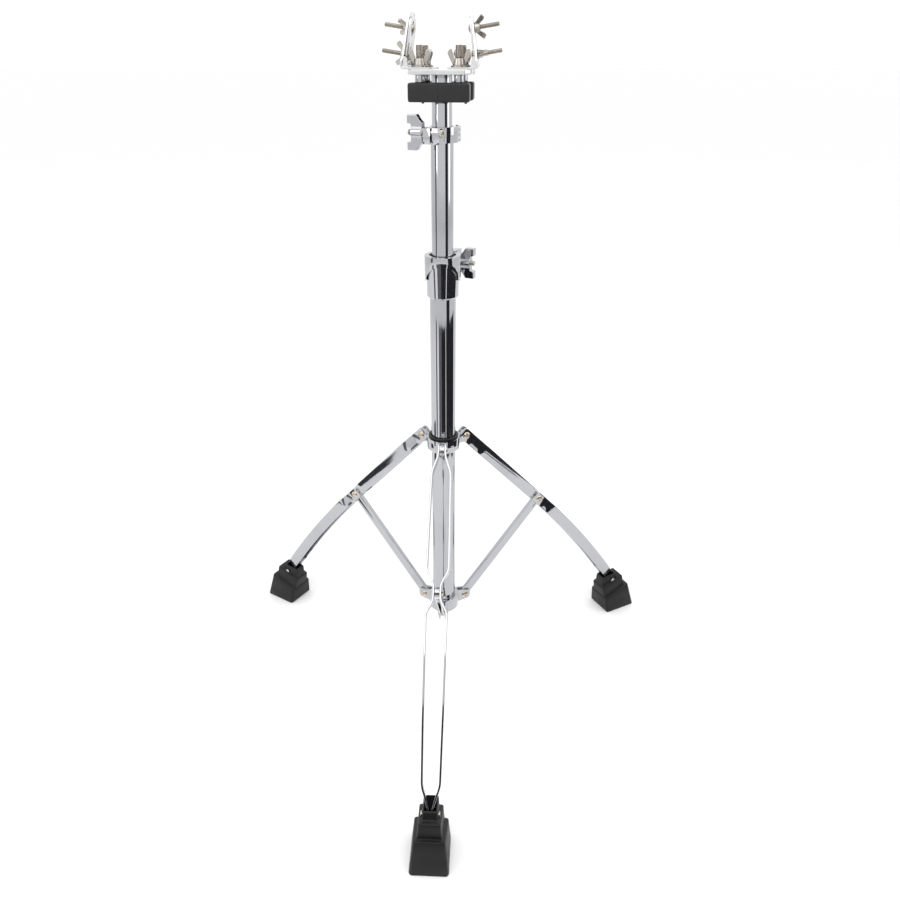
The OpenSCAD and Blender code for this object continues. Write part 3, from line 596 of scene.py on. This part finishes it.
def clamp_bolt(name, node, nut_joint):
    """A clamp's bolt: a low round head with a socket, a washer at the ears, and a threaded end."""
    origin, axis = joint_place(nut_joint)
    place = placed(origin, axis)
    seat, grip, radius, head_r, head_h = 9.5, 28.2, 2.95, 4.6, 3.0
    washer_r, washer_end, washer_edge, edge = 5.8, 10.7, 0.3, 0.7
    socket_r, socket_floor_r, socket_deep = 1.9, 1.9 * 0.96, 1.7
    pitch, thread_l = 1.0, 5
    bm = bmesh.new()
    top = -seat - head_h
    profile = [(socket_floor_r, top + socket_deep), (socket_r, top + edge * 0.4),
               *arc(head_r - edge, top + edge, edge, 270, 360), (head_r, -seat)]
    lathe(bm, profile, place, 48)
    lathe(bm, [(radius, -seat), (radius, grip - thread_l)], place, 48)
    washer = [*arc(washer_r - washer_edge, seat + washer_edge, washer_edge, 270, 360, 2),
              *arc(washer_r - washer_edge, washer_end - washer_edge, washer_edge, 0, 90, 2)]
    lathe(bm, washer, place, 48)
    thread(bm, place, radius, grip - thread_l, grip, pitch)
    made(name, bm, node)


class STAND_OT_grips(StandOperator):
    """Builds the cast wing grips and the clamps' bolts"""

    bl_idname = "stand.grips"
    bl_label = "Wing grips"

    def execute(self, context):
        sizes = context.scene.stand_sizes
        cast("height_grip", "height_wing_nut", sizes.grip_voxel, 4)
        cast("memory_grip", "memory_wing_nut", sizes.grip_voxel, 4)
        cast("collar_grip", "collar_lock_bolt", sizes.grip_voxel, 4)
        clamp_bolt("height_bolt", "height_clamp_bolt", "height_nut_turn")
        clamp_bolt("memory_bolt", "memory_clamp_bolt", "memory_nut_turn")
        return {"FINISHED"}


# ---- Head ----


class STAND_OT_head_plates(StandOperator):
    """Builds the head plate, the two brackets and their extension plates"""

    bl_idname = "stand.head_plates"
    bl_label = "Head plates"

    def execute(self, context):
        sizes = context.scene.stand_sizes
        softened("head_plate_pressed", "head_plate", sizes.press_edge * 1.6)
        for side in ("left", "right"):
            softened(f"{side}_bracket_pressed", f"{side}_bracket", sizes.press_edge)
            softened(f"{side}_extension_pressed", f"{side}_extension", sizes.press_edge)
        return {"FINISHED"}


def box_along(node, across):
    """A node's middle, and its half sizes along three directions: across, square to it and up."""
    turned = Matrix((across, UP.cross(across), UP))
    obj = frame["nodes"][node]
    points = [turned @ (obj.matrix_world @ vertex.co) / MM for vertex in obj.data.vertices]
    low = Vector([min(point[i] for point in points) for i in range(3)])
    high = Vector([max(point[i] for point in points) for i in range(3)])
    return turned.transposed() @ ((low + high) / 2), (high - low) / 2, turned.transposed()


def cushion(name, node, edge):
    """A moulded bar with rounded edges and a shallow mould line round its middle."""
    across = joint_place("front_right_nut_turn")[0] - joint_place("front_left_nut_turn")[0]
    centre, half, turned = box_along(node, across.normalized())
    groove, groove_w, floor_w, shoulder, shoulder_in = 0.35, 0.45, 0.12, 0.3, 0.05
    stations = [(-half.x + edge * (1 - math.cos(a)), edge * (1 - math.sin(a)))
                for a in (math.radians(22.5 * i) for i in range(5))]
    stations += [(-groove_w - shoulder, 0), (-groove_w, shoulder_in), (-floor_w, groove), (floor_w, groove),
                 (groove_w, shoulder_in), (groove_w + shoulder, 0)]
    stations += [(-x, inset) for x, inset in reversed(stations[:5])]
    loops = []
    for x, inset in stations:
        corner = max(0.25, edge - inset * 0.6)
        loop = rounded_loop(half.y - inset, half.z - inset, corner)
        loops.append([centre + turned @ Vector((x, y, z)) for y, z in loop])
    bm = bmesh.new()
    loft(bm, loops)
    made(name, bm, node, angle=50)


class STAND_OT_cushions(StandOperator):
    """Builds the two rubber cushion bars"""

    bl_idname = "stand.cushions"
    bl_label = "Cushion bars"

    def execute(self, context):
        sizes = context.scene.stand_sizes
        cushion("front_cushion_bar", "front_cushion", sizes.cushion_edge)
        cushion("rear_cushion_bar", "rear_cushion", sizes.cushion_edge)
        refinish("cushion_screws")
        return {"FINISHED"}


class STAND_OT_head_bolts(StandOperator):
    """Builds the head's spacers, bolts, washers and wing nuts"""

    bl_idname = "stand.head_bolts"
    bl_label = "Head bolts"

    def execute(self, context):
        sizes = context.scene.stand_sizes
        low, high = mm_box("head_bolts")
        washers = mm_box("head_washers")
        spacers = mm_box("cushion_spacers")
        plate_top = mm_box("head_plate")[1].z
        radius, spacer_r, washer_r, edge = 4.0, 5.4, 8.5, 0.5
        washer_gap, spacer_gap = 0.2, 0.1
        bolts, rings, sleeves = bmesh.new(), bmesh.new(), bmesh.new()
        for corner in HEAD_CORNERS:
            place = placed(joint_place(f"{corner}_nut_turn")[0], UP)
            place.translation.z = 0
            lathe(bolts, [(radius - edge, low.z), (radius, low.z + edge), (radius, plate_top)], place, 48)
            thread(bolts, place, radius, plate_top, high.z, sizes.thread_pitch, 44)
            turned_ring(rings, place, radius + washer_gap, washer_r, washers[0].z, washers[1].z, edge)
            turned_ring(sleeves, place, radius + spacer_gap, spacer_r, spacers[0].z, spacers[1].z, edge)
        made("head_bolts_threaded", bolts, "head_bolts")
        made("head_washers_pressed", rings, "head_washers")
        made("cushion_spacers_turned", sleeves, "cushion_spacers")
        for corner in HEAD_CORNERS:
            cast(f"{corner}_wing_nut", f"{corner}_head_nut", sizes.nut_voxel, 3)
        return {"FINISHED"}


class STAND_OT_side_bolts(StandOperator):
    """Builds the brackets' carriage bolts and their wing nuts"""

    bl_idname = "stand.side_bolts"
    bl_label = "Side bolts"

    def execute(self, context):
        sizes = context.scene.stand_sizes
        radius, shank, inside, dome_r, dome_h, thread_from = 2.35, 25.9, 4.1, 5.4, 2.6, 0.5
        ball = (dome_r**2 + dome_h**2) / (2 * dome_h)
        reach = math.degrees(math.asin(dome_r / ball))
        dome = [(ball * math.sin(math.radians(a)), -inside - dome_h + ball * (1 - math.cos(math.radians(a))))
                for a in (reach * i / 8 for i in range(1, 9))]
        for side in ("left", "right"):
            bm = bmesh.new()
            for level in ("lower", "upper"):
                place = placed(*joint_place(f"{side}_{level}_nut_turn"))
                lathe(bm, [*dome, (dome_r - 0.3, -inside)], place, 48)
                lathe(bm, [(radius, -inside), (radius, thread_from)], place, 40)
                thread(bm, place, radius, thread_from, shank, sizes.small_pitch, 36)
            made(f"{side}_carriage_bolts_threaded", bm, f"{side}_carriage_bolts")
        for nut in SIDE_NUTS:
            cast(f"{nut}_wing_nut", f"{nut}_nut", sizes.nut_voxel, 3)
        return {"FINISHED"}


# ---- Tripod ----


def leg_frame(leg):
    """Top pivot, strut pivot and the directions along, square to and across a leg, in millimetres."""
    strut_pivot, across = joint_place(f"{leg}_leg_fold")
    outward = across.cross(UP) * -1
    radius = (joint_place("collar_fold")[0] - tower()).to_2d().length
    top = tower() + outward * radius
    top.z = joint_place("collar_fold")[0].z
    along = (strut_pivot - top).normalized()
    return top, strut_pivot, along, across.cross(along), across


def spread_table(link):
    """Places along a leg where its strips bend, with half the distance between them there."""
    pinch, toe = 4.4, 2.6
    return [(-9, pinch), (9, pinch), (31, 11.8), (link * 0.55, 13.0), (link - 26, 13.6), (link - 10, pinch),
            (link + 10, pinch), (link + 25, 12.8), (link + 142, 11.8), (link + 221, 10.6),
            (link + 232.5, 6.4), (link + 246, toe), (link + 262, toe)]


def spread_at(u, link):
    """Half distance between a leg's strips at u along it."""
    table = spread_table(link)
    for (u0, s0), (u1, s1) in zip(table, table[1:]):
        if u <= u1:
            return s0 + (s1 - s0) * max(0.0, u - u0) / (u1 - u0)
    return table[-1][1]


def strip_stations(link, tail):
    """Places along a strip, close together at its bends."""
    bends = [u for u, _ in spread_table(link)[1:-1]]
    near = [b + step * 1.5 for b in bends for step in range(-5, 6)]
    even = [link * i / 24 for i in range(25)] + [link + tail * i / 34 for i in range(35)]
    return sorted({round(u, 1) for u in near + even if 0 <= u <= link + tail})


def strip(bm, leg, side, sizes):
    """One bent strip of a leg, with rounded edges, a round upper end and smooth bends."""
    top, strut_pivot, along, square, across = leg_frame(leg)
    link = (strut_pivot - top).length
    half_w, half_t, fold = sizes.strip_w / 2, sizes.strip_t / 2, sizes.strip_fold
    corner, end, rounding, look_ahead = 0.55, 8.5, 4.0, 0.5

    def place(u):
        spread = sum(spread_at(u + fold * k / 3, link) for k in range(-3, 4)) / 7
        past = max(0.0, u - link)
        return top + along * u - square * (past * past / (2 * sizes.strip_bend)) + across * (side * spread)

    loops = []
    head = [(-end + rounding * (1 - math.cos(a)), half_w - rounding * (1 - math.sin(a)))
            for a in (math.radians(18 * i) for i in range(6))]
    stations = head + [(u, half_w) for u in strip_stations(link, sizes.strip_tail)]
    for u, width in stations:
        here, ahead = place(u), place(u + look_ahead)
        forward = (ahead - here).normalized()
        flat = (square - forward * square.dot(forward)).normalized()
        out = forward.cross(flat)
        loops.append([here + flat * a + out * b for a, b in rounded_loop(width, half_t, corner, 3)])
    loft(bm, loops)


class STAND_OT_legs(StandOperator):
    """Builds the paired strips of the three legs"""

    bl_idname = "stand.legs"
    bl_label = "Legs"

    def execute(self, context):
        sizes = context.scene.stand_sizes
        for leg in LEGS:
            bm = bmesh.new()
            for side in (-1, 1):
                strip(bm, leg, side, sizes)
            made(f"{leg}_leg_strips", bm, f"{leg}_leg", angle=50)
        return {"FINISHED"}


class STAND_OT_struts(StandOperator):
    """Builds the three pressed struts"""

    bl_idname = "stand.struts"
    bl_label = "Struts"

    def execute(self, context):
        sizes = context.scene.stand_sizes
        for leg in LEGS:
            softened(f"{leg}_strut_pressed", f"{leg}_strut", sizes.press_edge)
        return {"FINISHED"}


def rivet(bm, centre, axis, grip):
    """A tubular rivet: a domed head with a dimple on each side of the leg or lug."""
    head_r, head_h, dimple = 5.2, 2.0, 1.5
    for sign in (-1, 1):
        place = placed(centre + axis * (sign * grip / 2), axis * sign)
        dome = [(head_r, 0), (head_r - 0.15, 0.35), (head_r - 0.9, 1.1), (head_r - 2.0, 1.65)]
        recess = [(dimple + 1, head_h), (dimple + 0.4, head_h), (dimple, head_h - 0.3),
                  (dimple * 0.75, head_h - 1.1)]
        lathe(bm, dome + recess, place, 40)


class STAND_OT_rivets(StandOperator):
    """Builds the rivets of the lugs and the legs"""

    bl_idname = "stand.rivets"
    bl_label = "Rivets"

    def execute(self, context):
        grip = 11.3
        lugs = bmesh.new()
        for leg, fold in zip(LEGS, ("tripod_fold", "right_strut_fold", "left_strut_fold")):
            rivet(lugs, *joint_place(fold), grip)
            top, strut_pivot, _, _, across = leg_frame(leg)
            bm = bmesh.new()
            for centre in (top, strut_pivot):
                rivet(bm, centre, across, grip)
            made(f"{leg}_rivets_formed", bm, f"{leg}_leg_rivets", angle=50)
        made("lug_rivets_formed", lugs, "lug_rivets", angle=50)
        return {"FINISHED"}


def foot_loop(inner, outer, half_inner, half_outer, corner, place):
    """A loop round a foot between two points of its middle plane, with a half width at each of them."""
    inner, outer = Vector(inner), Vector(outer)
    middle, half = (inner + outer) / 2, (outer - inner).length / 2
    run = (outer - inner).normalized()
    widest = max(half_inner, half_outer)
    loop = []
    for x, y in rounded_loop(half, widest, corner):
        share = (x / half + 1) / 2
        width = half_inner + (half_outer - half_inner) * share
        point = middle + run * x
        loop.append(place @ Vector((point.x, y * width / widest, point.y)))
    return loop


class STAND_OT_feet(StandOperator):
    """Builds the three stepped rubber feet and the screws through their necks"""

    bl_idname = "stand.feet"
    bl_label = "Feet"

    def execute(self, context):
        sizes = context.scene.stand_sizes
        for leg in LEGS:
            foot(leg, sizes)
        return {"FINISHED"}


# A foot's levels from the floor up: inner and outer end of each loop in the leg's plane, its half widths
# at both ends and its corner's radius.
FOOT_LEVELS = (
    ("base", ((-27.4, 0), (27.4, 0), 23.5, 23.5, 4.0), ((-30.9, 26.3), (15.4, 43.1), 20.5, 18.6, 3.6)),
    ("middle", ((-30.0, 26.6), (9.8, 41.1), 15.9, 14.7, 2.8), ((-34.2, 45.5), (5.4, 60.0), 14.4, 13.1, 2.5)),
    ("neck", ((-32.6, 46.1), (-2.3, 57.2), 9.7, 9.3, 2.2), ((-32.6, 63.6), (-6.6, 66.0), 8.9, 8.8, 1.8)),
)


def between(low, high, share, inset=0.0):
    """A foot level between two others, drawn in by inset."""
    least_corner = 0.6
    ends = []
    for a, b, sign in zip(low[:2], high[:2], (1, -1)):
        ends.append([a[0] + (b[0] - a[0]) * share, a[1] + (b[1] - a[1]) * share])
    run = (Vector(ends[1]) - Vector(ends[0])).normalized() * inset
    inner, outer = Vector(ends[0]) + run, Vector(ends[1]) - run
    halves = [a + (b - a) * share - inset for a, b in zip(low[2:4], high[2:4])]
    corner = low[4] + (high[4] - low[4]) * share - inset * 0.5
    return (inner, outer, *halves, max(least_corner, corner))


def foot(leg, sizes):
    """A foot of three tilted steps with a pocket at its neck for the strips."""
    low, _ = mm_box("front_foot")
    outward = leg_frame(leg)[4].cross(UP) * -1
    centre = tower() + outward * (tower().y - low.y - sizes.foot_l / 2)
    place = placed(centre, UP, outward)
    edge = sizes.foot_edge
    loops = []
    for name, lower, upper in FOOT_LEVELS:
        tall = (Vector(upper[1]) - Vector(lower[1])).length
        if name == "base":
            loops += [between(lower, upper, 0.0, 1.6), between(lower, upper, 0.012, 0.6)]
            loops += [between(lower, upper, 0.04), between(lower, upper, 0.35), between(lower, upper, 0.7)]
        else:
            loops += [between(lower, upper, 0.0, -0.8), between(lower, upper, 0.03, -0.2)]
            loops += [between(lower, upper, 0.12), between(lower, upper, 0.5)]
        for i in range(4):
            a = math.radians(30 * i)
            loops.append(between(lower, upper, 1 - edge / tall * (1 - math.sin(a)), edge * (1 - math.cos(a))))
    mouth, deep = FOOT_LEVELS[-1][2], ((-21.0, 48.0), (-5.0, 53.0), 4.3, 4.3, 1.0)
    loops += [between(mouth, deep, share, 0.75) for share in (0.03, 0.5, 1.0)]
    bm = bmesh.new()
    loft(bm, [foot_loop(*level, place) for level in loops])
    made(f"{leg}_foot_moulded", bm, f"{leg}_foot", angle=60)
    foot_screw(leg)


def foot_screw(leg):
    """A pan-head screw with a round recess at both sides of a foot's neck."""
    low, high = mm_box(f"{leg}_foot_screw")
    centre = (low + high) / 2
    across = leg_frame(leg)[4]
    shank_r, head_r, seat, head_h, edge = 2.0, 3.6, 10.0, 1.6, 0.8
    recess = [(1.2, seat + head_h), (0.9, seat + head_h - 0.8)]
    bm = bmesh.new()
    for sign in (-1, 1):
        place = placed(centre, across * sign)
        crown = arc(head_r - edge, seat + head_h - edge, edge, 0, 90)
        lathe(bm, [(shank_r, 0), (shank_r, seat), (head_r, seat), *crown, *recess], place, 40)
    made(f"{leg}_neck_screw", bm, f"{leg}_foot_screw")


# ---- Studio ----

FLOOR_REACH = 60.0
WORLD_STRENGTH = 1.1
CARD_REACH = 0.72

# Name, bearings of both ends, heights of both edges and paint of each upright card.
CARDS = (
    ("card_a", -9, 25, 0.0, 0.42, "black"), ("card_b", 30, 57, 0.0, 0.42, "black"),
    ("card_c", 57, 80, 0.055, 0.42, "black"), ("card_d", 80, 108, 0.0, 0.42, "black"),
    ("card_e", -34, -9, 0.0, 0.42, "grey"), ("card_f", -62, -50, 0.06, 0.42, "grey"),
    ("card_g", 58, 72, 0.004, 0.026, "black"), ("card_h", 34, 62, 0.42, 1.1, "black"),
    ("card_i", -74, -58, 0.5, 1.1, "grey"),
)
FLOOR_CARD = [(-0.95, -0.20, 0.002), (-0.60, -0.16, 0.002), (-0.66, 0.12, 0.002), (-0.95, 0.12, 0.002)]

# Name, place, aim, width, height and power of each light.
LIGHTS = (
    ("light_top", (0.0, 0.1, 2.6), (0, 0.08, 0.3), 2.4, 2.4, 12),
    ("light_front", (0.0, -1.8, 2.5), (0, 0.08, 0.3), 1.6, 1.6, 12),
    ("light_left", (-1.9, -1.2, 1.5), (0, 0, 0.5), 0.9, 1.6, 9),
    ("light_right", (2.0, -0.3, 1.3), (0, 0, 0.5), 0.8, 1.6, 5),
)

CAMERA_PLACE = (0.0497, -0.8249, 0.8365)
CAMERA_HEADING, CAMERA_PITCH = math.radians(2.6), math.radians(27.32)
CAMERA_LENS, CAMERA_SENSOR = 30.57, 36


def stage_material(name, rgb, roughness=0.7):
    """The floor's and the cards' own plain paint, with a faint mottling."""
    material, tree, shader = new_material(name)
    mottle = noise(tree, object_coordinates(tree), 3.0)
    tree.links.new(blend_colours(tree, mottle, rgb, scaled(rgb, 0.985)), shader.inputs["Base Color"])
    shader.inputs["Roughness"].default_value = roughness
    return material


def card(name, corners, material):
    """A flat card that only reflections see."""
    mesh = bpy.data.meshes.new(name)
    mesh.from_pydata(corners, [], [(0, 1, 2, 3)])
    obj = link(name, mesh)
    obj.data.materials.append(material)
    obj.visible_camera = False
    obj.visible_shadow = False
    obj.visible_diffuse = False


def standing_card(name, start, end, low, high, material):
    """An upright card round the tubes between two bearings, in degrees from the front towards the right."""
    centre = tower() * MM
    (x0, y0), (x1, y1) = [
        (centre.x + CARD_REACH * math.sin(math.radians(a)), centre.y - CARD_REACH * math.cos(math.radians(a)))
        for a in (start, end)]
    card(name, [(x0, y0, low), (x1, y1, low), (x1, y1, high), (x0, y0, high)], material)


def area_light(name, place, target, width, height, power):
    data = bpy.data.lights.new(name, "AREA")
    data.shape = "RECTANGLE"
    data.size, data.size_y = width, height
    data.energy = power
    obj = link(name, data)
    obj.location = place
    obj.rotation_euler = (Vector(target) - Vector(place)).to_track_quat("-Z", "Y").to_euler()


class STAND_OT_stage(bpy.types.Operator):
    """Builds the pale floor, the soft studio light with its dark cards, and the camera"""

    bl_idname = "stand.stage"
    bl_label = "Stage"

    def execute(self, context):
        scene = context.scene
        scene.view_settings.view_transform = "Standard"
        reach = FLOOR_REACH
        mesh = bpy.data.meshes.new("floor")
        mesh.from_pydata([(-reach, -reach, 0), (reach, -reach, 0), (reach, reach, 0), (-reach, reach, 0)], [],
                         [(0, 1, 2, 3)])
        floor = link("floor", mesh)
        floor.data.materials.append(stage_material("floor_paint", scene.stand_colours.floor))

        paints = {"black": stage_material("card_black", (0.012, 0.012, 0.016), roughness=0.9),
                  "grey": stage_material("card_grey", (0.16, 0.155, 0.175), roughness=0.9)}
        for name, start, end, low, high, paint in CARDS:
            standing_card(name, start, end, low, high, paints[paint])
        card("card_floor", FLOOR_CARD, paints["black"])

        world = bpy.data.worlds.new("studio")
        world.use_nodes = True
        background = world.node_tree.nodes["Background"]
        background.inputs["Color"].default_value = (1.0, 1.0, 1.0, 1)
        background.inputs["Strength"].default_value = WORLD_STRENGTH
        scene.world = world
        for light in LIGHTS:
            area_light(*light)

        camera = bpy.data.cameras.new("camera")
        camera.sensor_width = CAMERA_SENSOR
        camera.lens = CAMERA_LENS
        obj = link("camera", camera)
        obj.location = CAMERA_PLACE
        level = math.cos(CAMERA_PITCH)
        look = Vector((-math.sin(CAMERA_HEADING) * level, math.cos(CAMERA_HEADING) * level,
                       -math.sin(CAMERA_PITCH)))
        obj.rotation_euler = look.to_track_quat("-Z", "Y").to_euler()
        scene.camera = obj
        return {"FINISHED"}


# ---- Add-on ----

PIECES = (STAND_OT_tubes, STAND_OT_collars, STAND_OT_clamps, STAND_OT_grips, STAND_OT_head_plates,
          STAND_OT_cushions, STAND_OT_head_bolts, STAND_OT_side_bolts, STAND_OT_legs, STAND_OT_struts,
          STAND_OT_rivets, STAND_OT_feet)


class STAND_PT_panel(bpy.types.Panel):
    """Lists the stand's operators and sizes in the 3D view's sidebar"""

    bl_label = "Percussion Stand"
    bl_idname = "STAND_PT_panel"
    bl_space_type = "VIEW_3D"
    bl_region_type = "UI"
    bl_category = "Stand"

    def draw(self, context):
        layout = self.layout
        for operator in (STAND_OT_stage, *PIECES):
            layout.operator(operator.bl_idname)
        for group in (context.scene.stand_sizes, context.scene.stand_colours):
            for name in group.__annotations__:
                layout.prop(group, name)


CLASSES = (StandSizes, StandColours, STAND_OT_stage, *PIECES, STAND_PT_panel)


def register():
    for item in CLASSES:
        bpy.utils.register_class(item)
    bpy.types.Scene.stand_sizes = PointerProperty(type=StandSizes)
    bpy.types.Scene.stand_colours = PointerProperty(type=StandColours)


def unregister():
    del bpy.types.Scene.stand_colours
    del bpy.types.Scene.stand_sizes
    for item in reversed(CLASSES):
        bpy.utils.unregister_class(item)


def main():
    register()
    FINISHES.update(make_finishes(bpy.context.scene.stand_colours))
    bpy.ops.stand.stage()
    for operator in PIECES:
        group, name = operator.bl_idname.split(".")
        getattr(getattr(bpy.ops, group), name)()


if __name__ == "__main__":
    main()
